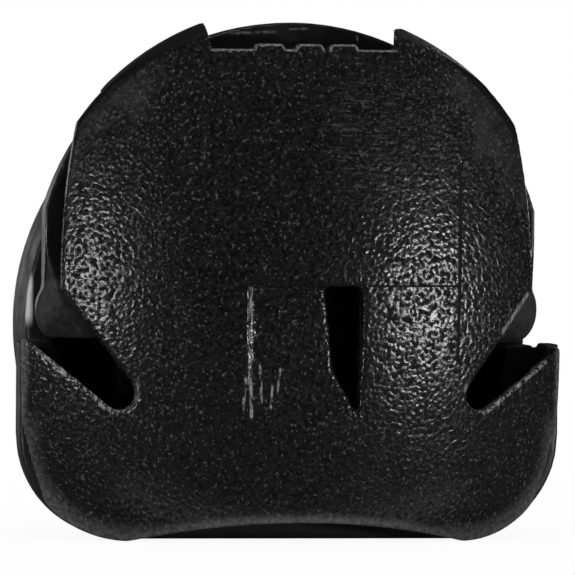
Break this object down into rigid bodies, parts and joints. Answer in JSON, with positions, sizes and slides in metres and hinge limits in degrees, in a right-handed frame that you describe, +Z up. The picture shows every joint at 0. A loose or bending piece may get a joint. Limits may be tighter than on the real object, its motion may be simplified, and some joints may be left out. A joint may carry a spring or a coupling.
{
  "type": "cord lock",
  "caption": "Rounded cord lock: a sprung plunger plate slides between a crowned, grained front shell and a rear shell, and clamps a cord that crosses from flank to flank.",
  "frame": {"origin": "centre of the bounding box's bottom, on the plane the foot rests on", "axes": "+X to the right along the cord, +Y from the grained front to the back, +Z up, against the plunger's travel"},
  "size_m": [0.02, 0.0144, 0.019],
  "materials": {
    "grained_black": "moulded leather grain",
    "satin_black": "satin",
    "smooth_black": "smooth",
    "spring_steel": "drawn wire"
  },
  "bodies": {
    "housing": {"front_shell": "grained_black", "rear_shell": "satin_black", "spring": "spring_steel"},
    "plunger": {"plunger": "smooth_black"}
  },
  "joints": [
    {"name": "plunger_press", "type": "slide", "parent": "housing", "child": "plunger", "axis": [0, 0, -1], "range_m": [0, 0.003], "stiffness_N_per_m": 1200, "springref_m": -0.0023, "deforming": ["spring"]}
  ]
}
